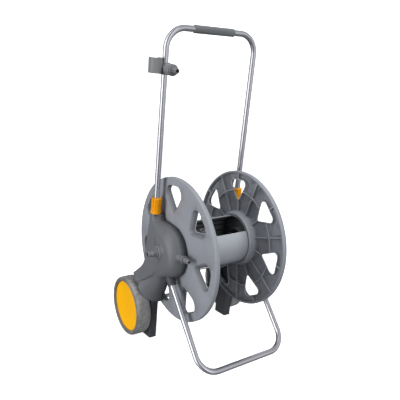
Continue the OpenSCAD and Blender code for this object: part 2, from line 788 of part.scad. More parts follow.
// Wheels and their axle
axle_end = wheel_out - disc_recess - 9;
washer_t = 1.2;
clip_r_out = 13;
core_hub_in = wheel_in + 1.5;
core_hub_out = axle_end - 5;
tyre_bead_r = disc_r + 2;
disc_out = wheel_out - disc_recess;
module wheel_axle() color([0.7, 0.71, 0.73]) at_hub() outwards() at_wheel()
  cylinder_from(-axle_end, axle_end, axle_r);
module axle_washers() color([0.75, 0.76, 0.78]) {
  left() axle_washer_pair();
  right() axle_washer_pair();
}
module axle_washer_pair() at_wheel() {
  translate([0, 0, core_hub_in - seat_gap - washer_t])
    ring(clip_r_out, axle_r + running_gap, washer_t);
  translate([0, 0, core_hub_out + seat_gap]) ring(clip_r_out, axle_r + running_gap, washer_t);
}
module axle_clips() color([0.62, 0.63, 0.65]) {
  left() axle_clip();
  right() axle_clip();
}
module axle_clip() at_wheel() translate([0, 0, core_hub_out + seat_gap + washer_t]) {
  difference() {
    cylinder(r1 = axle_r + 4, r2 = axle_r + 2, h = 1.6);
    translate([0, 0, -cut]) cylinder(r = axle_r, h = 4);
  }
}
tread_count = 36;
tread_w = 2.4;
tread_depth = 0.8;
tread_edge = 9;
module tyre() at_wheel() {
  shoulder = 7;
  inner = disc_r + seat_gap;
  difference() {
    rotate_extrude()
      polygon(concat(
        [[tyre_bead_r - 6, wheel_in], [wheel_r - shoulder - 4, wheel_in]],
        arc(wheel_r - shoulder, wheel_in + shoulder, shoulder, -90, 0, 6),
        arc(wheel_r - shoulder, wheel_out - shoulder, shoulder, 0, 90, 6),
        [[tyre_bead_r + 3, wheel_out], [inner, wheel_out - 2.5], [inner, disc_out - 6],
          [tyre_bead_r - 6, disc_out - 6]]
      ));
    for (i = [0:tread_count - 1]) rotate([0, 0, i * 360 / tread_count])
      translate([wheel_r - tread_depth, -tread_w / 2, wheel_in + tread_edge])
        cube([3, tread_w, wheel_w - 2 * tread_edge]);
  }
}
module left_tyre() color([0.45, 0.45, 0.45]) left() tyre();
module right_tyre() color([0.45, 0.45, 0.45]) right() tyre();

wheel_rim_r = tyre_bead_r - 6;
wheel_rim_t = 4;
wheel_hub_r = axle_r + 7;
wheel_web_in = wheel_in + 18;
spoke_t = 3;
module wheel_core() at_wheel() {
  difference() {
    union() {
      translate([0, 0, wheel_in + 2])
        ring(wheel_rim_r - running_gap, wheel_rim_r - wheel_rim_t, disc_out - 8 - wheel_in);
      cylinder_from(core_hub_in, core_hub_out, wheel_hub_r);
      cylinder_from(wheel_web_in, wheel_web_in + spoke_t, wheel_rim_r - wheel_rim_t / 2);
      for (i = [0:spoke_count - 1]) rotate([0, 0, i * 360 / spoke_count])
        translate([wheel_hub_r - 3, -spoke_t / 2, core_hub_in + 1])
          cube([wheel_rim_r - wheel_hub_r + 1, spoke_t, core_hub_out - core_hub_in - 2]);
    }
    cylinder_from(core_hub_in - cut, core_hub_out + cut, axle_r + running_gap);
  }
}
module left_wheel_core() color([0.3, 0.3, 0.31]) left() wheel_core();
module right_wheel_core() color([0.3, 0.3, 0.31]) right() wheel_core();
module wheel_disc() at_wheel() {
  t = 2.5;
  dish = 5;
  middle_r = 18;
  rotate_extrude()
    polygon([
      [0, disc_out - dish - t], [middle_r, disc_out - dish - t], [disc_r - 7, disc_out - t],
      [disc_r, disc_out - t], [disc_r, disc_out - 0.6], [disc_r - 0.6, disc_out],
      [disc_r - 6, disc_out], [middle_r, disc_out - dish], [0, disc_out - dish]
    ]);
  translate([0, 0, disc_out - 6])
    ring(wheel_rim_r - wheel_rim_t - seat_gap, wheel_rim_r - wheel_rim_t - t, 4);
}
module left_wheel_disc() color([0.96, 0.72, 0.02]) left() wheel_disc();
module right_wheel_disc() color([0.96, 0.72, 0.02]) right() wheel_disc();

// Handle
module at_crossbar(k) translate([0, handle_x(k), handle_y(k)]) children();
module handle_tube() color([0.8, 0.81, 0.84]) at_hub()
  at_crossbar(handle_len) rotate([180 + handle_lean, 0, 0])
    bent_tube(tube_out, handle_len + handle_in, bend_r);
module handle_grip() color([0.42, 0.43, 0.45]) at_hub() at_crossbar(handle_len)
  rotate([0, 90, 0]) translate([0, 0, -grip_len / 2]) rotate_extrude()
    polygon([
      [tube_r + running_gap, 0], [tube_r + grip_wall - edge, 0], [tube_r + grip_wall, edge],
      [tube_r + grip_wall, grip_len - edge], [tube_r + grip_wall - edge, grip_len],
      [tube_r + running_gap, grip_len]
    ]);
plug_t = 2;
plug_len = 10;
module tube_plug() on_handle(-handle_in) {
  translate([0, 0, -plug_t]) cylinder(r = tube_r - 0.2, h = plug_t);
  cylinder(r = tube_r - tube_wall - screw_gap, h = plug_len);
}
module tube_plugs() color([0.1, 0.1, 0.1]) {
  left() tube_plug();
  right() tube_plug();
}

// Twist collars over split collets
collet_base = 3;
collet_wall = 2.4;
collet_len = 34;
collar_skirt = 12.6;
slit_w = 1.5;
flute_r = 1.6;
module collet() on_handle(collar_seat) {
  difference() {
    union() {
      ring(collar_skirt - seat_gap, tube_r + running_gap, collet_base);
      ring(tube_r + collet_wall, tube_r + running_gap, collet_len);
    }
    for (i = [0:3]) rotate([0, 0, 45 + i * 90])
      translate([0, -slit_w / 2, collet_base + 5]) cube([2 * tube_r, slit_w, collet_len]);
  }
}
module left_collet() color([0.85, 0.85, 0.82]) left() collet();
module right_collet() color([0.85, 0.85, 0.82]) right() collet();
module collar() on_handle(collar_seat + seat_gap) {
  foot_h = 5.5;
  len = collar_len - seat_gap;
  difference() {
    rotate_extrude()
      polygon([
        [tube_r + seat_gap, collet_base], [tube_r + seat_gap, len], [collar_top_r - 1, len],
        [collar_top_r, len - 1], [collar_top_r + 0.2, len - 5],
        [collar_foot_r - 1, foot_h + 1], [collar_foot_r, foot_h], [collar_foot_r, 0.6],
        [collar_foot_r - 0.6, 0], [collar_skirt, 0], [collar_skirt, collet_base]
      ]);
    translate([0, 0, collet_base - cut])
      cylinder(r = tube_r + collet_wall + seat_gap, h = collet_len - collet_base + cut + seat_gap);
    for (i = [0:flute_count - 1]) rotate([0, 0, i * 360 / flute_count])
      translate([collar_foot_r - 0.2, 0, foot_h + 2])
        rotate([0, -atan((collar_foot_r - collar_top_r) / len), 0])
          cylinder(r = flute_r, h = len);
  }
}
module left_collar() color([0.93, 0.62, 0.05]) left() collar();
module right_collar() color([0.93, 0.62, 0.05]) right() collar();

// Holder on the left upright: clamp, front barrel and C clip for a hose end
clip_side = tube_r + clip_r + 2;
clip_raise = 7;
clamp_wall = 5;
clip_web_t = 8;
mouth_reach = 40;
holder_spigot_r = 5;
holder_spigot_len = 15;
holder_nipple_len = 20;
holder_bore_r = 4;
module forwards() rotate([0, -90, 0]) children();
module holder_clip() color([0.47, 0.48, 0.51]) left() on_handle(holder_at) {
  difference() {
    union() {
      translate([0, 0, -holder_h / 2]) cylinder(r = tube_r + clamp_wall, h = holder_h);
      forwards() cylinder(r = barrel_r, h = barrel_len);
      translate([-clip_web_t / 2, -clip_side + clip_r - clip_wall, -holder_h / 2])
        cube([clip_web_t, clip_side - clip_r + clip_wall, holder_h]);
      translate([0, -clip_side, clip_raise - clip_h / 2]) cylinder(r = clip_r, h = clip_h);
    }
    translate([0, 0, -holder_h]) cylinder(r = tube_r + running_gap, h = 2 * holder_h);
    translate([0, -clip_side, clip_raise - clip_h]) cylinder(r = clip_r - clip_wall, h = 2 * clip_h);
    translate([0, -clip_side, clip_raise - clip_h]) linear_extrude(height = 2 * clip_h)
      polygon([
        [0, 0], [mouth_reach, -mouth_reach * tan(clip_mouth)],
        [mouth_reach, mouth_reach * tan(clip_mouth)]
      ]);
    forwards() translate([0, 0, barrel_len - holder_spigot_len - cut])
      cylinder(r = holder_spigot_r + screw_gap, h = holder_spigot_len + 2 * cut);
  }
}
module holder_nipple() color([0.42, 0.43, 0.45]) left() on_handle(holder_at) forwards()
  translate([0, 0, barrel_len]) difference() {
    union() {
      nipple(holder_nipple_len, nipple_r - 1, 0);
      translate([0, 0, -holder_spigot_len])
        cylinder(r = holder_spigot_r, h = holder_spigot_len + cut);
    }
    translate([0, 0, 2]) cylinder(r = holder_bore_r, h = holder_nipple_len);
  }

// Crank
crank_end = [crank_reach * cos(crank_angle), -crank_reach * sin(crank_angle)];
pin_boss_r = 9.5;
crank_hub_r = 17;
crank_end_r = 11;
crank_lip = 3;
pocket_depth = 4;
pin_head_r = 8;
pin_head_t = 2.5;
pin_head_out = knob_out - 2.5;
knob_start = crank_out + crank_lip + seat_gap;
module at_crank_pin() translate([crank_end[0], crank_end[1], 0]) children();
module crank_outline(shrink)
  polygon(rounded_outline(
    [[0, 0, crank_hub_r - shrink], [crank_end[0], crank_end[1], crank_end_r - shrink]], 12));
module crank_arm() color([0.33, 0.34, 0.36]) right() {
  difference() {
    union() {
      translate([0, 0, crank_in]) linear_extrude(height = crank_t) crank_outline(0);
      at_crank_pin() cylinder_from(crank_in + cut, crank_out + crank_lip, pin_boss_r);
    }
    translate([0, 0, crank_out - pocket_depth]) linear_extrude(height = pocket_depth + cut)
      difference() {
        crank_outline(crank_lip);
        circle(r = crank_hub_r - 2);
        at_crank_pin() circle(r = pin_boss_r + 0.8);
        rotate(-crank_angle) translate([0, -crank_lip / 2]) square([crank_reach, crank_lip]);
      }
    difference() {
      cylinder_from(crank_in - cut, drive_out + seat_gap, drive_r + running_gap);
      translate([-2 * drive_r, drive_flat + running_gap, crank_in - 2 * cut])
        cube([4 * drive_r, 2 * drive_r, 4 * crank_t]);
    }
    cylinder_from(crank_in, crank_out + cut, screw_r + screw_gap);
    translate([0, 0, crank_out - screw_head_h])
      cylinder(
        r1 = screw_r + screw_gap, r2 = screw_head_r + screw_gap, h = screw_head_h + screw_gap
      );
    at_crank_pin() cylinder_from(crank_in - cut, crank_out + crank_lip + cut, pin_r + running_gap);
  }
}
module crank_screw() color([0.72, 0.73, 0.75]) right()
  translate([0, 0, crank_out]) mirror([0, 0, 1]) screw(crank_screw_len);
module crank_pin() color([0.7, 0.71, 0.73]) right() at_crank_pin() {
  cylinder_from(crank_in + 1, pin_head_out, pin_r);
  cylinder_from(pin_head_out - pin_head_t, pin_head_out, pin_head_r);
}
module crank_knob() color([0.2, 0.2, 0.21]) right() at_crank_pin() {
  mid = (knob_start + knob_out) / 2;
  rotate_extrude()
    polygon([
      [pin_r + running_gap, knob_start], [9, knob_start], [10, knob_start + 1],
      [knob_r - 2.6, knob_start + 12], [knob_r - 0.8, mid], [knob_r, knob_out - 12],
      [knob_r - 0.6, knob_out - 4], [knob_r - 3, knob_out - 0.6], [knob_r - 4, knob_out],
      [pin_head_r + seat_gap, knob_out],
      [pin_head_r + seat_gap, pin_head_out - pin_head_t - seat_gap],
      [pin_r + running_gap, pin_head_out - pin_head_t - seat_gap]
    ]);
}

left_side_frame();
right_side_frame();
left_side_cover();
right_side_cover();
cover_screws();
front_hoop();
hoop_screws();
wheel_axle();
axle_washers();
axle_clips();
left_hub_bush();
right_hub_bush();
inlet_nipple();
inlet_seal();
parking_nipple();
left_collet();
right_collet();
left_collar();
right_collar();
handle_tube();
tube_plugs();
handle_grip();
holder_clip();
holder_nipple();
left_flange();
right_flange();
drum_core();
water_shaft();
shaft_nut();
hose_elbow();
hose_connector();
crank_shaft();
flange_screws();
crank_arm();
crank_screw();
crank_pin();
crank_knob();
left_tyre();
left_wheel_core();
left_wheel_disc();
right_tyre();
right_wheel_core();
right_wheel_disc();
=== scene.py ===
# %% [markdown]
# # A hose reel cart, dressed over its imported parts
#
# The cart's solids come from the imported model: drum, side frames, wheels, tubes and
# crank, each one a named node on a named body. They could be modelled again here, but
# they are exact already, so the lesson leaves their shapes alone. It gives every one of
# them the finish of the real material, and adds the small things that repeat or follow
# a rule, which Geometry Nodes make better than hand work.
#
# Everything is in metres. X runs along the drum's axle, -Y is the front, +Z is up, and
# the ground is Z = 0.

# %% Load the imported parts
import json
import math

import bmesh
import bpy
from mathutils import Matrix, Vector


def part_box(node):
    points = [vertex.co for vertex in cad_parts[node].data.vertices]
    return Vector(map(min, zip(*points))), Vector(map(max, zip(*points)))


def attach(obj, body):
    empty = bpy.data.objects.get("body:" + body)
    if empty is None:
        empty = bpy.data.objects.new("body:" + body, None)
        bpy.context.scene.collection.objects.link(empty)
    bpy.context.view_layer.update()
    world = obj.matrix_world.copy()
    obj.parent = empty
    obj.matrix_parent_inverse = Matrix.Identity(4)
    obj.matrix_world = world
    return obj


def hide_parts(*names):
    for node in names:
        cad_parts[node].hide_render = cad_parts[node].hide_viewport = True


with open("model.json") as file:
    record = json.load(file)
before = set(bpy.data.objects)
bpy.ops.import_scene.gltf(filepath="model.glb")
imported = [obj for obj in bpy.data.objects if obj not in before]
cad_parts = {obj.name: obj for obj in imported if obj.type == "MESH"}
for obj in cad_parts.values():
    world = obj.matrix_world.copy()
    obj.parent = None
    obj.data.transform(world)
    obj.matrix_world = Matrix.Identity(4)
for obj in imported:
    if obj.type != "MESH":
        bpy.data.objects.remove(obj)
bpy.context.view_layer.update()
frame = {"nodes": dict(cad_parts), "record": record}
nodes = frame["nodes"]
slot_of = {s["node"]: s["material_slot"] for s in frame["record"]["subparts"]}
body_of = {n: b for b, members in frame["record"]["behaviour"]["bodies"].items() for n in members}
scene = bpy.context.scene

# %% [markdown]
# ## Places to build from
#
# Everything that is added must sit on what carries it. It could be placed by eye, but
# then it would float as soon as a size changes. So its place is read from the packed
# nodes' own boxes: the flanges give the drum's axle and the cart's middle, the core its
# own radius, and the tyres the wheels' axles.

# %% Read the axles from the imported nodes
MM = 0.001
# Each side, and the sign that leads outward to it along X
SIDES = (("left", -1), ("right", 1))
FULL_TURN = 2 * math.pi


def middle(node):
    low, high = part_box(node)
    return (low + high) / 2


hub = (middle("left_flange") + middle("right_flange")) / 2
tyre_low, tyre_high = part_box("right_tyre")
WHEEL_R = (tyre_high.z - tyre_low.z) / 2
WHEEL_IN = tyre_low.x - hub.x
WHEEL_OUT = tyre_high.x - hub.x
FLANGE_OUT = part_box("right_flange")[1].x - hub.x
core_low, core_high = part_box("drum_core")
CORE_R = (core_high.y - core_low.y) / 2
print("hub at", [round(c, 4) for c in hub], "core radius", round(CORE_R, 4), "wheel radius",
      round(WHEEL_R, 4))

# %% [markdown]
# ## Camera
#
# The photograph was taken from the front left, a little above the cart. A camera could
# be pushed about until the picture looks right. This one's place, turn and lens were
# worked out from the two equal round flanges, the handle and the hoop instead, so the
# same numbers give the same picture, and what still differs is the model's own doing.

# %% Place the camera
CAMERA_AT = Vector((-0.77583, -1.10182, 0.6878))
CAMERA_AZIMUTH = -0.586009
CAMERA_ELEVATION = 0.201591
CAMERA_ROLL = math.radians(0.12)
CAMERA_LENS = 42.644
CAMERA_SENSOR = 36

camera_data = bpy.data.cameras.new("camera")
camera_data.sensor_fit = "HORIZONTAL"
camera_data.sensor_width = CAMERA_SENSOR
camera_data.lens = CAMERA_LENS
camera = bpy.data.objects.new("camera", camera_data)
scene.collection.objects.link(camera)
back = Vector((
    math.sin(CAMERA_AZIMUTH) * math.cos(CAMERA_ELEVATION),
    -math.cos(CAMERA_AZIMUTH) * math.cos(CAMERA_ELEVATION),
    math.sin(CAMERA_ELEVATION),
))
level = (-back).to_track_quat("-Z", "Y").to_matrix().to_4x4()
turn = level @ Matrix.Rotation(CAMERA_ROLL, 4, "Z")
camera.matrix_world = Matrix.Translation(CAMERA_AT) @ turn
scene.camera = camera
print("camera at", [round(c, 3) for c in CAMERA_AT])

# %% [markdown]
# ## Studio
#
# The cart stands on a pale floor in front of a white backdrop. Both glow, so they
# photograph as clean white without any light having to be that strong. Only the camera
# sees them: if they took part in the lighting too, polished tubes would turn white all
# over and no side of the cart would ever be dark.

# %% Make the floor and the backdrop
STUDIO_REACH = 14
STAGE_GREY = 0.8
STAGE_ROUGHNESS = 0.9
FLOOR_GLOW, BACKDROP_GLOW = 0.85, 1.2


def stage_material(name, glow):
    material = bpy.data.materials.new(name)
    material.use_nodes = True
    shader = material.node_tree.nodes["Principled BSDF"]
    shader.inputs["Base Color"].default_value = (STAGE_GREY, STAGE_GREY, STAGE_GREY, 1)
    shader.inputs["Roughness"].default_value = STAGE_ROUGHNESS
    shader.inputs["Emission Color"].default_value = (1, 1, 1, 1)
    shader.inputs["Emission Strength"].default_value = glow
    return material


def stage_piece(name, glow, fill):
    """A piece of the studio, whose shape fill makes and which only the camera sees."""
    mesh = bpy.data.meshes.new(name)
    shape = bmesh.new()
    fill(shape)
    shape.to_mesh(mesh)
    shape.free()
    mesh.materials.append(stage_material(name + "_white", glow))
    piece = bpy.data.objects.new(name, mesh)
    scene.collection.objects.link(piece)
    piece.visible_glossy = False
    piece.visible_diffuse = False
    return piece


stage_piece("studio_floor", FLOOR_GLOW, lambda shape: bmesh.ops.create_circle(
    shape, cap_ends=True, segments=64, radius=STUDIO_REACH))
backdrop = stage_piece("studio_backdrop", BACKDROP_GLOW, lambda shape: bmesh.ops.create_icosphere(
    shape, subdivisions=3, radius=STUDIO_REACH - 1))
backdrop.visible_shadow = False
print("studio reach:", STUDIO_REACH, "m")

# %% [markdown]
# ## Writing node trees
#
# The world, a material and a Geometry Nodes modifier are all trees of nodes. They can
# be wired by hand in Blender's editors. Written as code they come out the same each
# time, and they can share recipes. Two helpers do the writing: one adds a node and
# wires its inputs, the other fills a colour ramp.

# %% Helpers that write node trees
def add_node(tree, kind, inputs=(), **settings):
    """Add a node; each of its inputs gets a plain value, or a link from another's output."""
    node = tree.nodes.new(kind)
    for key, value in settings.items():
        setattr(node, key, value)
    for socket, source in dict(inputs).items():
        if hasattr(source, "is_linked"):
            tree.links.new(source, node.inputs[socket])
        else:
            node.inputs[socket].default_value = source
    return node


def fill_ramp(ramp, stops):
    """Give a colour ramp its stops, each one a place from 0 to 1 and a colour."""
    while len(ramp.elements) < len(stops):
        ramp.elements.new(0.5)
    for element, (place, colour) in zip(ramp.elements, stops):
        element.position = place
        element.color = (*colour, 1)


# %% [markdown]
# ### The room that the steel reflects
#
# A studio's soft boxes and the dark gaps between them are what gives polished steel its
# streaks. Panels could be built and hung round the cart, but all that is ever seen of
# them is their reflection. So the room is the world itself: its brightness changes with
# the direction round the cart, with a bright panel at the left, a dimmer and narrow one
# ahead and dim corners, and it fades toward the floor and the ceiling.

# %% Make the room
# How bright the room is at each heading in degrees, 0 in front and -90 at the left
HEADINGS = [
    (-180, 0.22), (-118, 0.4), (-101, 0.9), (-95, 2.3), (-80, 2.3), (-70, 0.95), (-52, 0.36),
    (-28, 0.2), (-14, 0.34), (-6, 1.0), (8, 1.0), (18, 0.5), (40, 0.55), (70, 0.4), (120, 0.6),
    (180, 0.20),
]
# How bright it is at each height, from straight down to straight up
HEIGHTS = [(-1, 0.25), (-0.5, 0.35), (-0.15, 1.0), (0.35, 1.0), (0.6, 0.75), (1, 0.7)]
ROOM_TINT = (0.97, 0.975, 1.0)

world = bpy.data.worlds.new("studio")
scene.world = world
world.use_nodes = True
room = world.node_tree
sky = room.nodes["Background"].inputs

place = add_node(room, "ShaderNodeTexCoord").outputs["Generated"]
toward = add_node(room, "ShaderNodeSeparateXYZ", {0: place}).outputs
forward = add_node(room, "ShaderNodeMath", {0: toward["Y"], 1: -1}, operation="MULTIPLY")
heading = add_node(room, "ShaderNodeMath", {
    0: toward["X"], 1: forward.outputs[0],
}, operation="ARCTAN2")
round_share = add_node(room, "ShaderNodeMapRange", {
    "Value": heading.outputs[0], "From Min": -math.pi, "From Max": math.pi,
})
panels = add_node(room, "ShaderNodeValToRGB", {"Fac": round_share.outputs["Result"]})
fill_ramp(panels.color_ramp, [
    ((degrees + 180) / 360, [bright * c for c in ROOM_TINT]) for degrees, bright in HEADINGS
])
room.links.new(panels.outputs["Color"], sky["Color"])

up_share = add_node(room, "ShaderNodeMapRange", {
    "Value": toward["Z"], "From Min": -1, "From Max": 1,
})
lift = add_node(room, "ShaderNodeValToRGB", {"Fac": up_share.outputs["Result"]})
fill_ramp(lift.color_ramp, [((up + 1) / 2, [bright] * 3) for up, bright in HEIGHTS])
room.links.new(lift.outputs["Color"], sky["Strength"])
scene.view_settings.view_transform = "Standard"
print("room:", len(HEADINGS), "headings and", len(HEIGHTS), "heights")

# %% [markdown]
# ### Lamps
#
# The photographer lit the cart softly from the left, the front and above, and three
# disc lamps do the same. A lamp this near would also show in the gloss of every piece
# as a hard white dot, so the lamps are hidden from reflections: they light the cart,
# and its highlights are the room's long soft ones.

# %% Light the cart
LAMP_AIM = Vector((0, 0, 0.35))
# Each lamp's place, its width in metres and its power in watts
LAMPS = {
    "left_lamp": ((-3.2, -0.3, 0.9), 1.8, 70),
    "front_lamp": ((0.5, -3.0, 1.4), 1.8, 66),
    "top_lamp": ((0.3, -0.6, 2.9), 1.2, 46),
}
for name, (at, width, watts) in LAMPS.items():
    light = bpy.data.lights.new(name, "AREA")
    light.shape = "DISK"
    light.size = width
    light.energy = watts
    lamp = bpy.data.objects.new(name, light)
    scene.collection.objects.link(lamp)
    lamp.location = at
    lamp.rotation_euler = (LAMP_AIM - Vector(at)).to_track_quat("-Z", "Y").to_euler()
    lamp.visible_camera = False
    lamp.visible_glossy = False
print("lamps:", list(LAMPS))

# %% [markdown]
# ## Finishes
#
# Nearly all of the cart is moulded plastic. A real moulding isn't one flat colour: its
# pigment clouds a little, its gloss wanders where the mould is polished or worn, and
# the mould's etched grain breaks up every reflection. An image of plastic would need
# unwrapped faces, so these finishes are built from noise on each piece's own
# coordinates instead, which costs nothing and has no seams.
#
# Small helpers make one step of a finish each, so that every finish reads as a list.

# %% Helpers that add one step to a finish
class Finish:
    """One procedural material: a shader, the piece's own coordinates, and steps added to them."""

    def __init__(self, name, metal=0.0):
        self.material = bpy.data.materials.new(name)
        self.material.use_nodes = True
        self.tree = self.material.node_tree
        self.shader = self.tree.nodes["Principled BSDF"]
        self.place = self.add("ShaderNodeTexCoord").outputs["Object"]
        self.set("Metallic", metal)

    def add(self, kind, inputs=(), **settings):
        return add_node(self.tree, kind, inputs, **settings)

    def set(self, socket, value):
        self.shader.inputs[socket].default_value = value

    def link(self, value, socket):
        self.tree.links.new(value, self.shader.inputs[socket])

    def noise(self, scale, detail=2.0, at=None, rough=0.5):
        """Soft clouds, smaller as the scale grows."""
        return self.add("ShaderNodeTexNoise", {
            "Scale": scale, "Detail": detail, "Roughness": rough, "Vector": at or self.place,
        }).outputs["Fac"]

    def cells(self, scale):
        """Small hollows packed side by side."""
        step = self.add("ShaderNodeTexVoronoi", {"Scale": scale, "Vector": self.place})
        return step.outputs["Distance"]

    def stretched(self, scale):
        """The piece's coordinates, drawn out along each axis whose scale is small."""
        step = self.add("ShaderNodeMapping", {"Scale": scale, "Vector": self.place})
        return step.outputs["Vector"]

    def distance(self, centre, axes):
        """Distance from centre, counted only along the axes that have a 1."""
        moved = self.add("ShaderNodeVectorMath", {0: self.place, 1: centre}, operation="SUBTRACT")
        kept = self.scaled(moved.outputs["Vector"], axes)
        return self.add("ShaderNodeVectorMath", {0: kept}, operation="LENGTH").outputs["Value"]

    def scaled(self, value, amount):
        """A colour or a place, multiplied by an amount."""
        step = self.add("ShaderNodeVectorMath", {0: value, 1: amount}, operation="MULTIPLY")
        return step.outputs["Vector"]

    def between(self, value, low, high, start=0.3, end=0.7):
        """Low where the value is at start or less, high where it is at end or more."""
        return self.add("ShaderNodeMapRange", {
            "Value": value, "From Min": start, "From Max": end, "To Min": low, "To Max": high,
        }).outputs["Result"]

    def colours(self, value, *stops):
        """Colours in place of a value, from stops of a value and its colour."""
        step = self.add("ShaderNodeValToRGB", {"Fac": value})
        fill_ramp(step.color_ramp, stops)
        return step.outputs["Color"]

    def bumps(self, *layers):
        """Relief in layers, each one a height, a strength and a depth in metres."""
        normal = None
        for height, strength, depth in layers:
            inputs = {"Height": height, "Strength": strength, "Distance": depth}
            if normal:
                inputs["Normal"] = normal
            normal = self.add("ShaderNodeBump", inputs).outputs["Normal"]
        self.link(normal, "Normal")


def shade(colour, amount):
    return tuple(min(1.0, c * amount) for c in colour)


# %% [markdown]
# ### Moulded plastic
#
# One recipe covers every plastic: clouded pigment, wandering gloss, etched grain. What
# differs between the pieces is colour, gloss, and how coarse the grain is.
#
# Some places are darker than their pigment: the core's inside, with painted shade and
# the dust that dulls it, and the bowls round the flanges' windows, with painted shade,
# the deeper the darker. That shade could be left to the lamps, but soft light gets into
# every corner, and painting it would need an image. So the recipe takes a shadow, a
# rule that reads how far each place is from the axle or from the cart's middle.

# %% The recipe for a moulded plastic
PLASTIC_IOR = 1.49
GLOSS_SPREAD = 0.06
GRAIN_STRENGTH = 0.5
# Where the noise is taken as the darkest and as the palest pigment
DARK_CLOUD, PALE_CLOUD = 0.32, 0.68


def moulded(name, colour, gloss, cloud=0.05, cloud_scale=14, grain=900, depth=0.04 * MM, shine=0.5,
            shadow=None):
    finish = Finish(name)
    pigment = finish.colours(
        finish.noise(cloud_scale, 4, rough=0.6),
        (DARK_CLOUD, shade(colour, 1 - cloud)), (PALE_CLOUD, shade(colour, 1 + cloud)),
    )
    finish.link(finish.scaled(pigment, shadow(finish)) if shadow else pigment, "Base Color")
    wear = finish.noise(cloud_scale * 3, 3)
    finish.link(finish.between(wear, gloss - GLOSS_SPREAD, gloss + GLOSS_SPREAD), "Roughness")
    finish.bumps((finish.noise(grain, 2), GRAIN_STRENGTH, depth))
    finish.set("IOR", PLASTIC_IOR)
    finish.set("Specular IOR Level", shine)
    return finish.material


# %% [markdown]
# A shadow rule turns a distance into the share of the colour that is left: a low share
# on the near side of a thin band, a high one on its far side.

# %% The shadow rules of the core and the bowls
# Painted shade, with some dust, leaves the core's inside this share of its colour
CORE_INSIDE_SHARE = 0.3
# The band lies in the core's wall, this far in from its outside
CORE_BAND = (3 * MM, 1 * MM)
# Painted shade in the bowls: the share of the colour left at a bowl's floor and at its mouth
BOWL_FLOOR_SHARE, BOWL_MOUTH_SHARE = 0.42, 0.78
# The band runs from a bowl's floor to its mouth, this far below the flange's outer face
BOWL_BAND = (9 * MM, 0.4 * MM)


# Painted shade and dust on the core's inside: darker inward of a band in its wall
def core_shadow(finish):
    at = middle("drum_core")
    from_axle = finish.distance((0, at.y, at.z), (0, 1, 1))
    return finish.between(from_axle, CORE_INSIDE_SHARE, 1, *(CORE_R - d for d in CORE_BAND))


# Painted shade in the bowls, darker the deeper below the flange's outer face
def bowl_shadow(finish):
    from_middle = finish.distance((hub.x, 0, 0), (1, 0, 0))
    return finish.between(from_middle, BOWL_FLOOR_SHARE, BOWL_MOUTH_SHARE,
                          *(FLANGE_OUT - d for d in BOWL_BAND))


print("shadows: core down to", CORE_INSIDE_SHARE, "bowls down to", BOWL_FLOOR_SHARE)


# %% [markdown]
# Every plastic is one row of this table. Three of them aren't a node's own finish: the
# bowls, darkened by painted shade, and the slightly worn edges that hose and hands rub
# paler and glossier, whose paler colour is also a painted highlight.

# %% Make the plastics
PLASTICS = {
    "frame_plastic": dict(colour=(0.044, 0.047, 0.053), gloss=0.45),
    "cover_plastic": dict(colour=(0.105, 0.11, 0.12), gloss=0.4, cloud=0.04),
    # Paler than the cover: partly wear, partly a painted highlight
    "cover_plastic_rubbed_highlit": dict(colour=(0.2, 0.208, 0.22), gloss=0.32, grain=1200),
    "flange_plastic": dict(colour=(0.21, 0.22, 0.245), gloss=0.42, cloud=0.04, cloud_scale=9),
    # Paler than the flange: partly wear, partly a painted highlight
    "flange_plastic_rubbed_highlit": dict(colour=(0.43, 0.44, 0.47), gloss=0.34, grain=1200),
    # The bowls' finish, darkened by painted shade
    "flange_plastic_bowl_shade": dict(colour=(0.2165, 0.227, 0.253), gloss=0.42, cloud=0.044,
                                cloud_scale=9, shadow=bowl_shadow),
    # The core's inside is darkened by painted shade and dust
    "core_plastic": dict(colour=(0.307, 0.322, 0.352), gloss=0.36, cloud=0.04, shadow=core_shadow),
    "fitting_plastic": dict(colour=(0.13, 0.135, 0.145), gloss=0.38),
    "holder_plastic": dict(colour=(0.15, 0.154, 0.158), gloss=0.45),
    "dark_plastic": dict(colour=(0.022, 0.022, 0.024), gloss=0.45),
    "knob_plastic": dict(colour=(0.03, 0.03, 0.033), gloss=0.4, grain=600, depth=0.08 * MM),
    "bush_nylon": dict(colour=(0.66, 0.66, 0.62), gloss=0.5),
    "collar_plastic": dict(colour=(0.66, 0.265, 0.003), gloss=0.34, cloud=0.07, cloud_scale=40,
                           shine=0.2),
    "disc_plastic": dict(colour=(0.8, 0.39, 0.001), gloss=0.42, cloud=0.06, cloud_scale=10,
                         shine=0.15),
}
finishes = {name: moulded(name, **row) for name, row in PLASTICS.items()}
print("plastics:", len(finishes))

# %% [markdown]
# ### Blow-moulded tyre
#
# The tyre isn't rubber. It is hard plastic blown into a mould, in a warm grey that dust
# and scuffs mottle, so its recipe has two sizes of mottling and a scuffed gloss. Its
# side wall is darker than its tread: painted shade, which a shadow rule puts there.

# %% Make the tyre's plastic
TYRE_GREYS = ((0.3, (0.15, 0.149, 0.15)), (0.5, (0.225, 0.221, 0.22)), (0.72, (0.32, 0.31, 0.303)))
# The share of the colour kept on the tread, and on the side wall, where painted shade darkens it
TREAD_SHARE, SIDE_WALL_SHARE = 1.12, 0.6
# The tread gives way to the side wall in a band this far in from the tyre's outer face
SIDE_WALL_BAND = (5 * MM, 2.5 * MM)


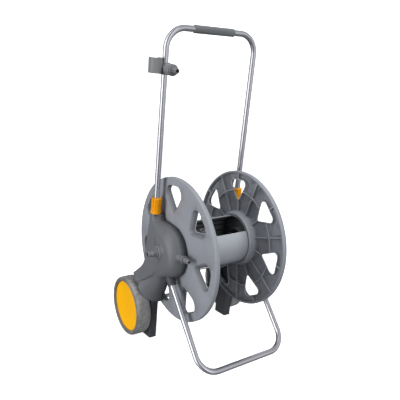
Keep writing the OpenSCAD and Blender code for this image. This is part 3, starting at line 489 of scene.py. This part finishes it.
def tyre_finish():
    finish = Finish("tyre_plastic")
    mottled = finish.colours(finish.noise(26, 5, rough=0.7), *TYRE_GREYS)
    from_middle = finish.distance((hub.x, 0, 0), (1, 0, 0))
    # Painted shade darkens the side wall
    side_wall_shade = finish.between(from_middle, TREAD_SHARE, SIDE_WALL_SHARE,
                               *(WHEEL_OUT - d for d in SIDE_WALL_BAND))
    finish.link(finish.scaled(mottled, side_wall_shade), "Base Color")
    finish.link(finish.between(finish.noise(90, 3), 0.45, 0.72), "Roughness")
    finish.bumps((finish.noise(160, 3), 0.5, 0.3 * MM), (finish.noise(1200, 2), 0.4, 0.05 * MM))
    return finish.material


finishes["tyre_plastic"] = tyre_finish()
print("tyre: greys", len(TYRE_GREYS), "side wall", round(WHEEL_OUT, 4), "from the middle")

# %% [markdown]
# ### Foam grip and rubber seal
#
# Foam is a mass of cut cells: many small hollows and no gloss. A cell pattern makes the
# hollows, and noise that is stretched along the grip gives the faint drawn streaks. The
# seal's rubber is nearly black, matt and fine-grained.

# %% Make the foam and the rubber
FOAM_GREYS = ((0.3, (0.095, 0.1, 0.108)), (0.7, (0.16, 0.166, 0.176)))
RUBBER_BLACKS = ((0.3, (0.009, 0.009, 0.009)), (0.7, (0.018, 0.018, 0.018)))


def foam_finish():
    finish = Finish("grip_foam")
    streaks = finish.noise(60, 3, at=finish.stretched((0.06, 1, 1)))
    finish.link(finish.colours(streaks, *FOAM_GREYS), "Base Color")
    finish.link(finish.between(finish.noise(200, 2), 0.68, 0.86), "Roughness")
    finish.bumps((finish.cells(520), 0.5, 0.4 * MM), (finish.noise(900, 2), 0.3, 0.1 * MM))
    return finish.material


def rubber_finish():
    finish = Finish("seal_rubber")
    finish.link(finish.colours(finish.noise(120, 3), *RUBBER_BLACKS), "Base Color")
    finish.link(finish.between(finish.noise(300, 2), 0.55, 0.75), "Roughness")
    finish.bumps((finish.noise(1500, 2), 0.4, 0.04 * MM))
    return finish.material


finishes["grip_foam"] = foam_finish()
finishes["seal_rubber"] = rubber_finish()
print("soft materials:", ["grip_foam", "seal_rubber"])

# %% [markdown]
# ### Steel
#
# The tubes are chromed: nearly a mirror, with a faint waviness along the tube that
# makes the streaks wander, and a few duller patches. A perfect mirror would be simpler,
# but its streaks would be ruled lines, and no drawn tube has those. Turned axles and
# zinc screws are rougher, and their waves are much finer.

# %% Make the steels
STEELS = {
    "tube_steel": dict(colour=(0.85, 0.86, 0.91), gloss=0.2, spread=0.06, wave_scale=20),
    "axle_steel": dict(colour=(0.55, 0.56, 0.58), gloss=0.28, spread=0.12, wave_scale=80),
    "screw_steel": dict(colour=(0.6, 0.6, 0.62), gloss=0.26, spread=0.14, wave_scale=120),
}
WAVE_DEPTH = 0.1 * MM
GRAIN_DEPTH = 0.01 * MM
DULL_TINT, CLEAR_TINT = 0.94, 1.04


def steel(name, colour, gloss, spread, wave_scale):
    finish = Finish(name, metal=1.0)
    finish.link(finish.colours(
        finish.noise(18, 4, rough=0.6),
        (0.3, shade(colour, DULL_TINT)), (0.7, shade(colour, CLEAR_TINT)),
    ), "Base Color")
    finish.link(finish.between(finish.noise(55, 4), gloss, gloss + spread), "Roughness")
    finish.bumps((finish.noise(wave_scale, 2), 0.2, WAVE_DEPTH),
                 (finish.noise(1400, 2), 0.15, GRAIN_DEPTH))
    return finish.material


finishes.update((name, steel(name, **row)) for name, row in STEELS.items())
print("steels:", list(STEELS))

# %% [markdown]
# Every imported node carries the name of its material. One loop gives each node the
# finish of that name, so no piece can be forgotten or dressed by mistake.

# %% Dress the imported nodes
for name, piece in nodes.items():
    piece.data.materials.clear()
    piece.data.materials.append(finishes[slot_of[name]])
print("finishes:", len(finishes), "for", len(nodes), "nodes")

# %% [markdown]
# ## Smooth mouldings
#
# The housings and the flanges were built from many narrow facets, where the real
# mouldings run smoothly. Their shape is right, so they aren't modelled again: a copy of
# each node has its loose corners welded together, and is shaded smooth wherever two
# faces meet at a shallow angle. Edges that are really sharp stay sharp.

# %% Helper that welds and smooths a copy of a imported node
WELD_WITHIN = 0.004 * MM


def smooth_by_angle(mesh, degrees):
    mesh.polygons.foreach_set("use_smooth", [True] * len(mesh.polygons))
    mesh.set_sharp_from_angle(angle=math.radians(degrees))


def smooth_copy(node, name, degrees):
    mesh = nodes[node].data.copy()
    mesh.name = name
    shape = bmesh.new()
    shape.from_mesh(mesh)
    before = len(shape.verts)
    bmesh.ops.remove_doubles(shape, verts=shape.verts, dist=WELD_WITHIN)
    shape.to_mesh(mesh)
    after = len(shape.verts)
    shape.free()
    mesh.normals_split_custom_set([(0, 0, 0)] * len(mesh.loops))
    smooth_by_angle(mesh, degrees)
    piece = bpy.data.objects.new(name, mesh)
    scene.collection.objects.link(piece)
    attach(piece, body_of[node])
    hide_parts(node)
    print(name, "welded", before, "corners to", after)
    return piece


# %% [markdown]
# Two parts of a flange don't look like the rest of it: the bowls that its windows are
# scooped into, which lie in shade that is painted into their finish, and the socket for
# the core, which is as pale as the core. They could be cut off as pieces of their own,
# but that would leave seams. A mesh can wear several finishes at once, and each face
# says which one, so the faces are picked by where they are and by the way they look.

# %% Helper that finishes a flange's bowls and socket
# How deep below the outer face the bowls and the socket begin, and between which radii
BOWL_DEPTH = 0.2 * MM
BOWL_IN, BOWL_OUT = 75 * MM, 192 * MM
SOCKET_DEPTH = 4 * MM
SOCKET_IN, SOCKET_OUT = 60 * MM, 82 * MM
# A bowl's faces look outward at least this much, as 1 is straight out
BOWL_SLOPE = 0.08


def finish_bowls(piece, out):
    """Finish the faces of one flange, whose outer face looks along X times out."""
    mesh = piece.data
    # The bowls get the finish with painted shade, the socket the core's own pale finish
    mesh.materials.append(finishes["flange_plastic_bowl_shade"])
    mesh.materials.append(finishes["core_plastic"])
    outer = max(out * corner.co.x for corner in mesh.vertices)
    bowls = 0
    for face in mesh.polygons:
        radius = math.hypot(face.center.y - hub.y, face.center.z - hub.z)
        depth = outer - out * face.center.x
        looks_out = out * face.normal.x > BOWL_SLOPE
        if looks_out and depth > BOWL_DEPTH and BOWL_IN < radius < BOWL_OUT:
            face.material_index = 1
            bowls += 1
        elif depth > SOCKET_DEPTH and SOCKET_IN < radius < SOCKET_OUT:
            face.material_index = 2
    print(piece.name, "bowl faces:", bowls)


# %% [markdown]
# The covers bend tightly at the neck and over the wheel, so their facets meet at larger
# angles than the flanges' do. A flange needs the smaller limit, or its ribs' edges
# would blur.

# %% Smooth the covers and the flanges
COVER_ANGLE, FLANGE_ANGLE = 62, 26
for side, out in SIDES:
    smooth_copy(side + "_side_cover", side + "_housing_skin", COVER_ANGLE)
    finish_bowls(smooth_copy(side + "_flange", side + "_flange_moulding", FLANGE_ANGLE), out)

# %% [markdown]
# ## Pieces that repeat round an axle
#
# Rib tips, window lips, tread lugs, stiffening ribs, finger ridges: a reel cart is full
# of one small shape that is repeated round an axle. Each could be copied in a Python
# loop, but one Geometry Nodes tree makes them all, and its inputs say what is repeated,
# how often, from which angle and about which axle. First a helper that writes a tree
# out step by step.

# %% Helper that writes a Geometry Nodes tree
class Recipe:
    """A Geometry Nodes tree whose named inputs are a modifier's settings."""

    def __init__(self, name, inputs):
        self.tree = bpy.data.node_groups.new(name, "GeometryNodeTree")
        rows = self.tree.interface
        rows.new_socket(name="Geometry", in_out="INPUT", socket_type="NodeSocketGeometry")
        for title, kind in inputs:
            rows.new_socket(name=title, in_out="INPUT", socket_type="NodeSocket" + kind)
        rows.new_socket(name="Geometry", in_out="OUTPUT", socket_type="NodeSocketGeometry")
        self.inputs = self.tree.nodes.new("NodeGroupInput").outputs
        self.output = self.tree.nodes.new("NodeGroupOutput").inputs["Geometry"]

    def step(self, kind, inputs=(), **settings):
        return add_node(self.tree, kind, inputs, **settings).outputs

    def finish(self, geometry):
        """Real geometry with its own finish, because an export drops instances."""
        real = self.step("GeometryNodeRealizeInstances", {"Geometry": geometry})
        coat = self.step("GeometryNodeSetMaterial", {
            "Geometry": real[0], "Material": self.inputs["Finish"],
        })
        self.tree.links.new(coat[0], self.output)


# %% [markdown]
# The first tree: one point for each copy, the part placed on each point, and every copy
# turned about the axle by its own number times the pitch.

# %% Make the tree that repeats a part round an axle
repeat = Recipe("repeat_round_axle", [
    ("Part", "Object"), ("Count", "Int"), ("First turn", "Float"), ("Pitch", "Float"),
    ("Axle", "Vector"), ("Finish", "Material"),
])
points = repeat.step("GeometryNodePoints", {"Count": repeat.inputs["Count"]})
part = repeat.step("GeometryNodeObjectInfo", {"Object": repeat.inputs["Part"]})
copies = repeat.step("GeometryNodeInstanceOnPoints", {
    "Points": points[0], "Instance": part["Geometry"],
})
index = repeat.step("GeometryNodeInputIndex")
steps = repeat.step("ShaderNodeMath", {0: index[0], 1: repeat.inputs["Pitch"]}, operation="MULTIPLY")
angle = repeat.step("ShaderNodeMath", {0: steps[0], 1: repeat.inputs["First turn"]}, operation="ADD")
spin = repeat.step("ShaderNodeCombineXYZ", {"X": angle[0]})
turned = repeat.step("GeometryNodeRotateInstances", {
    "Instances": copies[0], "Rotation": spin[0],
    "Pivot Point": repeat.inputs["Axle"], "Local Space": False,
})
repeat.finish(turned[0])
print("tree:", repeat.tree.name, "with", len(repeat.tree.nodes), "nodes")

# %% [markdown]
# A modifier's settings are stored under each input's identifier, not under its name,
# so a small function looks the identifiers up. Once the modifier has done its work,
# the result becomes a plain mesh and the modifier goes. The new piece rides on the body
# of the node that carries it.

# %% Run a tree and keep its result as a plain mesh
RELIEF_ANGLE = 35


def run_recipe(recipe, name, carrier, settings):
    piece = bpy.data.objects.new(name, bpy.data.meshes.new(name + "_seed"))
    scene.collection.objects.link(piece)
    modifier = piece.modifiers.new(recipe.tree.name, "NODES")
    modifier.node_group = recipe.tree
    for row in recipe.tree.interface.items_tree:
        if row.in_out == "INPUT" and row.name in settings:
            modifier[row.identifier] = settings[row.name]
    graph = bpy.context.evaluated_depsgraph_get()
    mesh = bpy.data.meshes.new_from_object(piece.evaluated_get(graph), depsgraph=graph)
    piece.modifiers.clear()
    piece.data = mesh
    mesh.name = name
    smooth_by_angle(mesh, RELIEF_ANGLE)
    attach(piece, body_of[carrier])
    print(name, len(mesh.polygons), "faces")


def repeat_part(name, carrier, part, count, finish, first=0.0, pitch=None, axle=hub):
    """Repeat a part round an axle, over a whole turn unless a pitch is given."""
    run_recipe(repeat, name, carrier, {
        "Part": part, "Count": count, "First turn": first, "Pitch": pitch or FULL_TURN / count,
        "Axle": axle, "Finish": finishes[finish],
    })


# %% [markdown]
# A part to be repeated is always one closed bar: rows of corners, each row a
# cross-section, with faces between the rows. A bar can be closed at both ends, or run
# round to its own start as a loop.

# %% Helpers that make a part to repeat
HALF_ROUND_STEPS = 5


def half_circle():
    """The angles of a half-round cross-section's corners."""
    return [math.pi * i / HALF_ROUND_STEPS for i in range(HALF_ROUND_STEPS + 1)]


def bar(name, rows, loop=False):
    """The first copy of a part, made from rows of m corners each; no picture shows it."""
    m = len(rows[0])
    corners = [corner for row in rows for corner in row]
    faces = [] if loop else [tuple(range(m)), tuple(range(len(corners) - m, len(corners)))]
    for j in range(len(rows) if loop else len(rows) - 1):
        here, there = j * m, (j + 1) % len(rows) * m
        for i in range(m):
            k = (i + 1) % m
            faces.append((here + i, here + k, there + k, there + i))
    mesh = bpy.data.meshes.new(name)
    mesh.from_pydata(corners, [], faces)
    shape = bmesh.new()
    shape.from_mesh(mesh)
    bmesh.ops.recalc_face_normals(shape, faces=shape.faces)
    shape.to_mesh(mesh)
    shape.free()
    return bpy.data.objects.new(name, mesh)


# %% [markdown]
# ## Rounded rib tips and window lips on the flanges
#
# The drum's inner faces are stiffened by ribs. A moulded rib never ends in a sharp
# edge: its tip is rounded so that the hose slides over it, and that rounding is what
# catches the light in thin pale lines. The hose also rubs the tips a little paler and
# glossier than the rest, and their paler colour is also a painted highlight for those
# lines. The ribs' edges could be bevelled one by one, but half-round bars on their crests
# give the same line for a few faces each, repeated once for every window of the flange.
# A lip of the same section runs round the edge of every window.

# %% Measures of the tips and lips
# These are the measures of the imported flange's own ribs and windows
WINDOWS = 7
WINDOW_PITCH = FULL_TURN / WINDOWS
# A rib's crest lies a little below the rim's inner edge, and a tip's foot a little below that
RIM_WIDTH = 13 * MM
RIB_BELOW_RIM = 1 * MM
RIB_CREST = FLANGE_OUT - RIM_WIDTH + RIB_BELOW_RIM
RIB_WIDTH = 2.4 * MM
TIP_SUNK = 0.3 * MM
TIP_RISE = 0.9 * MM
# Each straight rib: its first copy's turn in pitches, and the radii of its two ends in mm
RIBS = {
    "spoke": (0.5, 77.5, 133.5),
    "spoke_end": (0.5, 146.5, 193),
    "window_foot": (0, 77.5, 114),
    "window_head": (0, 177, 193),
}
# The ring's rib crosses the spokes, and each of its arcs spans twice this angle
RING_R = 143 * MM
RING_HALF = math.radians(16)
RING_STEPS = 12
# A window's edge runs round three arcs, each with its middle across and along the flange's
# radius and its own radius, in mm
LIP_ARCS = [(0, 123, 7.25), (20, 163, 12.25), (-20, 163, 12.25)]
LIP_STEPS = 40
print("rib crests", round(RIB_CREST, 4), "from the middle,", len(RIBS), "straight ribs per window")

# %% [markdown]
# Every tip and lip has the same half-round section, so one helper makes a row of
# corners and the three others only say where the rows go: at both ends of a rib, along
# an arc, or round a window.

# %% Helpers that shape the tips and lips
def half_round(out, across, along):
    """Section of a tip that bulges inward from a rib's crest, at a place along the radius."""
    foot = out * (RIB_CREST + TIP_SUNK)
    return [
        hub + Vector((foot - out * TIP_RISE * math.sin(a), 0, 0))
        + along + across * (RIB_WIDTH / 2 * math.cos(a))
        for a in half_circle()
    ]


def straight_tip(name, out, low, high):
    ends = (Vector((0, 0, r * MM)) for r in (low, high))
    return bar(name, [half_round(out, Vector((0, 1, 0)), end) for end in ends])


def ring_tip(name, out):
    rows = []
    for i in range(RING_STEPS + 1):
        a = RING_HALF * (2 * i / RING_STEPS - 1)
        radial = Vector((0, math.sin(a), math.cos(a)))
        rows.append(half_round(out, radial, radial * RING_R))
    return bar(name, rows)


def window_lip(name, out):
    """In each direction, the lip follows the arc that reaches farthest."""
    middles = [(Vector((0, y, z)), r) for y, z, r in LIP_ARCS]
    rows = []
    for i in range(LIP_STEPS):
        a = FULL_TURN * i / LIP_STEPS
        toward = Vector((0, math.cos(a), math.sin(a)))
        centre, r = max(middles, key=lambda arc: arc[0].dot(toward) + arc[1])
        rows.append(half_round(out, toward, (centre + toward * r) * MM))
    return bar(name, rows, loop=True)


# %% [markdown]
# The lips and tips are then repeated for the seven windows of both flanges.

# %% Add the tips and lips
# The tips and lips wear the paler rubbed finish: partly wear, partly a painted highlight
for side, out in SIDES:
    flange = side + "_flange"
    repeat_part(f"{side}_window_lips", flange, window_lip(f"{side}_window_lip", out), WINDOWS,
                "flange_plastic_rubbed_highlit")
    for rib, (turn, low, high) in RIBS.items():
        repeat_part(f"{side}_{rib}_tips", flange, straight_tip(f"{side}_{rib}_tip", out, low, high),
                    WINDOWS, "flange_plastic_rubbed_highlit", first=turn * WINDOW_PITCH)
    repeat_part(f"{side}_ring_tips", flange, ring_tip(f"{side}_ring_tip", out), WINDOWS,
                "flange_plastic_rubbed_highlit", first=0.5 * WINDOW_PITCH)

# %% [markdown]
# ## Beads round an axle
#
# Where two mouldings meet, a real maker hides the joint behind a small round bead, and
# a bead is what draws the crisp light ring round a hub. A torus would do for one, but
# its size and place would be lost in the mesh. The second tree sweeps a small circle
# round a large one, about the X axis, and keeps both as named inputs.

# %% Make the tree that sweeps a bead round an axle
SECTION_SIDES = 8
bead = Recipe("bead_round_axle", [
    ("Ring radius", "Float"), ("Bead radius", "Float"), ("Sides", "Int"), ("Centre", "Vector"),
    ("Finish", "Material"),
])
ring = bead.step("GeometryNodeCurvePrimitiveCircle", {
    "Resolution": bead.inputs["Sides"], "Radius": bead.inputs["Ring radius"],
}, mode="RADIUS")
section = bead.step("GeometryNodeCurvePrimitiveCircle", {
    "Resolution": SECTION_SIDES, "Radius": bead.inputs["Bead radius"],
}, mode="RADIUS")
swept = bead.step("GeometryNodeCurveToMesh", {"Curve": ring[0], "Profile Curve": section[0]})
placed = bead.step("GeometryNodeTransform", {
    "Geometry": swept[0], "Translation": bead.inputs["Centre"], "Rotation": (0, math.pi / 2, 0),
})
bead.finish(placed[0])
print("tree:", bead.tree.name, "with", len(bead.tree.nodes), "nodes")

# %% [markdown]
# The left hub ends in a flat boss round the water inlet. Two beads finish it: one on
# the boss's rim, and a finer one round the socket that the inlet comes out of.

# %% Add the hub's beads
HUB_FACE = hub.x - 170.5 * MM
# Each bead: how far it is sunk into the hub's face, its ring's radius and its own, all in
# mm, and how many sides the ring has
HUB_BEADS = {
    "hub_rim_bead": (0.9, 17.6, 1.0, 48),
    "hub_socket_bead": (0.1, 11.5, 0.8, 40),
}
# The beads wear the paler rubbed finish: partly wear, partly a painted highlight of the hub's light
# ring
for name, (sunk, ring_r, bead_r, sides) in HUB_BEADS.items():
    run_recipe(bead, name, "left_side_cover", {
        "Ring radius": ring_r * MM, "Bead radius": bead_r * MM, "Sides": sides,
        "Centre": (HUB_FACE + sunk * MM, hub.y, hub.z), "Finish": finishes["cover_plastic_rubbed_highlit"],
    })

# %% [markdown]
# ## Tread lugs
#
# The tyres' shoulders carry two rows of shallow raised pads, half a step apart. They
# could be cut into the tyre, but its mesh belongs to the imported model. So a pad is a
# thin block of its own that follows the tyre's curve, with its top a little smaller
# than its foot, as anything is that has to leave a mould.

# %% Add the tread lugs
LUGS = 36
LUG_PITCH = FULL_TURN / LUGS
LUG_STEPS = 3
LUG_RISE = 0.5 * MM
LUG_DRAFT = 0.6 * MM
TREAD_SUNK = 0.3 * MM
LUG_FOOT_HALF, LUG_TOP_HALF = math.radians(3.4), math.radians(2.9)
# Each row: its turn in pitches, and how far its pads' ends are from the tyre's inner wall in mm
LUG_ROWS = {"inner": (0, 8, 19), "outer": (0.5, 26.5, 37.5)}


def lug(name, at, x0, x1):
    foot, top = WHEEL_R - TREAD_SUNK, WHEEL_R + LUG_RISE
    rows = []
    for i in range(LUG_STEPS + 1):
        share = 2 * i / LUG_STEPS - 1
        rows.append([
            (x, at.y + r * math.sin(half * share), at.z + r * math.cos(half * share))
            for x, r, half in (
                (x0, foot, LUG_FOOT_HALF), (x0 + LUG_DRAFT, top, LUG_TOP_HALF),
                (x1 - LUG_DRAFT, top, LUG_TOP_HALF), (x1, foot, LUG_FOOT_HALF),
            )
        ])
    return bar(name, rows)


for side, out in SIDES:
    tyre = side + "_tyre"
    at = middle(tyre)
    for row, (turn, near, far) in LUG_ROWS.items():
        ends = sorted(hub.x + out * (WHEEL_IN + d * MM) for d in (near, far))
        repeat_part(f"{side}_{row}_lugs", tyre, lug(f"{side}_{row}_lug", at, *ends), LUGS,
                    "tyre_plastic", first=turn * LUG_PITCH, axle=at)

# %% [markdown]
# Two thin rings run round the middle of each tread, between the rows of pads. They are
# beads again, only larger, so the second tree makes them too.

# %% Add the tread rings
# How far the rings are from the tyre's inner wall, in mm
TREAD_RINGS = (21, 24.5)
TREAD_RING_SIDES = 72
TREAD_BEAD_R = 0.8 * MM
for side, out in SIDES:
    tyre = side + "_tyre"
    at = middle(tyre)
    for number, from_wall in enumerate(TREAD_RINGS, 1):
        run_recipe(bead, f"{side}_tread_ring_{number}", tyre, {
            "Ring radius": WHEEL_R - TREAD_SUNK, "Bead radius": TREAD_BEAD_R,
            "Sides": TREAD_RING_SIDES,
            "Centre": Vector((hub.x + out * (WHEEL_IN + from_wall * MM), at.y, at.z)),
            "Finish": finishes["tyre_plastic"],
        })

# %% [markdown]
# ## Ribs inside the core
#
# The core is a wide thin tube, stiffened inside by low ribs along its length. They
# leave out the opening in its wall, so the first tree repeats one rib over only part of
# a turn: the pitch is the closed part of the wall, shared out among the ribs.

# %% Add the core's ribs
CORE_RIBS = 15
CORE_WALL = 3.5 * MM
CORE_INSIDE_R = CORE_R - CORE_WALL
# A rib is rooted in the wall and is narrower at its tip
ROOT_DEPTH, ROOT_HALF = 1 * MM, 1.1 * MM
TIP_HEIGHT, TIP_HALF = 5 * MM, 0.8 * MM
RIB_SECTION = [
    (-ROOT_HALF, CORE_INSIDE_R + ROOT_DEPTH), (ROOT_HALF, CORE_INSIDE_R + ROOT_DEPTH),
    (TIP_HALF, CORE_INSIDE_R - TIP_HEIGHT), (-TIP_HALF, CORE_INSIDE_R - TIP_HEIGHT),
]
RIB_FROM_END = 24 * MM
# The opening starts this far above the front and runs on over the top, for this span
OPENING_START, OPENING_SPAN = math.radians(31), math.radians(70)

core_rib = bar("core_rib", [
    [Vector((x, hub.y + y, hub.z + z)) for y, z in RIB_SECTION]
    for x in (core_low.x + RIB_FROM_END, core_high.x - RIB_FROM_END)
])
rib_pitch = (FULL_TURN - OPENING_SPAN) / CORE_RIBS
repeat_part("core_ribs", "drum_core", core_rib, CORE_RIBS, "dark_plastic",
            first=math.pi / 2 - OPENING_START + rib_pitch / 2, pitch=rib_pitch)

# %% [markdown]
# ## Finger ridges on the crank's knob
#
# A smooth knob slips in a wet hand, so it has low ridges along it. They follow the
# knob's swelling shape from end to end: each row of this bar sits as far below the
# knob's widest radius as the knob itself does there.

# %% Add the knob's ridges
KNOB_RIDGES = 16
RIDGE_HALF_WIDTH = 1.3 * MM
RIDGE_RISE = 1.1 * MM
RIDGE_SUNK = 0.5 * MM
# At each share of the knob's length, how far its surface lies below its widest radius, in mm
KNOB_PROFILE = [(0.2, 1.0), (0.35, 1.143), (0.5, 0.8), (0.65, 0.457), (0.8, 0.114), (0.93, 0)]

knob_low, knob_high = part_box("crank_knob")
knob_at = middle("crank_knob")
knob_r = (knob_high.z - knob_low.z) / 2
ridge_rows = []
for share, below in KNOB_PROFILE:
    x = knob_low.x + share * (knob_high.x - knob_low.x)
    foot = knob_r - below * MM - RIDGE_SUNK
    ridge_rows.append([
        Vector((x, knob_at.y, knob_at.z + foot))
        + Vector((0, RIDGE_HALF_WIDTH * math.cos(a), RIDGE_RISE * math.sin(a)))
        for a in half_circle()
    ])
repeat_part("knob_ridges", "crank_knob", bar("knob_ridge", ridge_rows), KNOB_RIDGES, "knob_plastic",
            axle=knob_at)
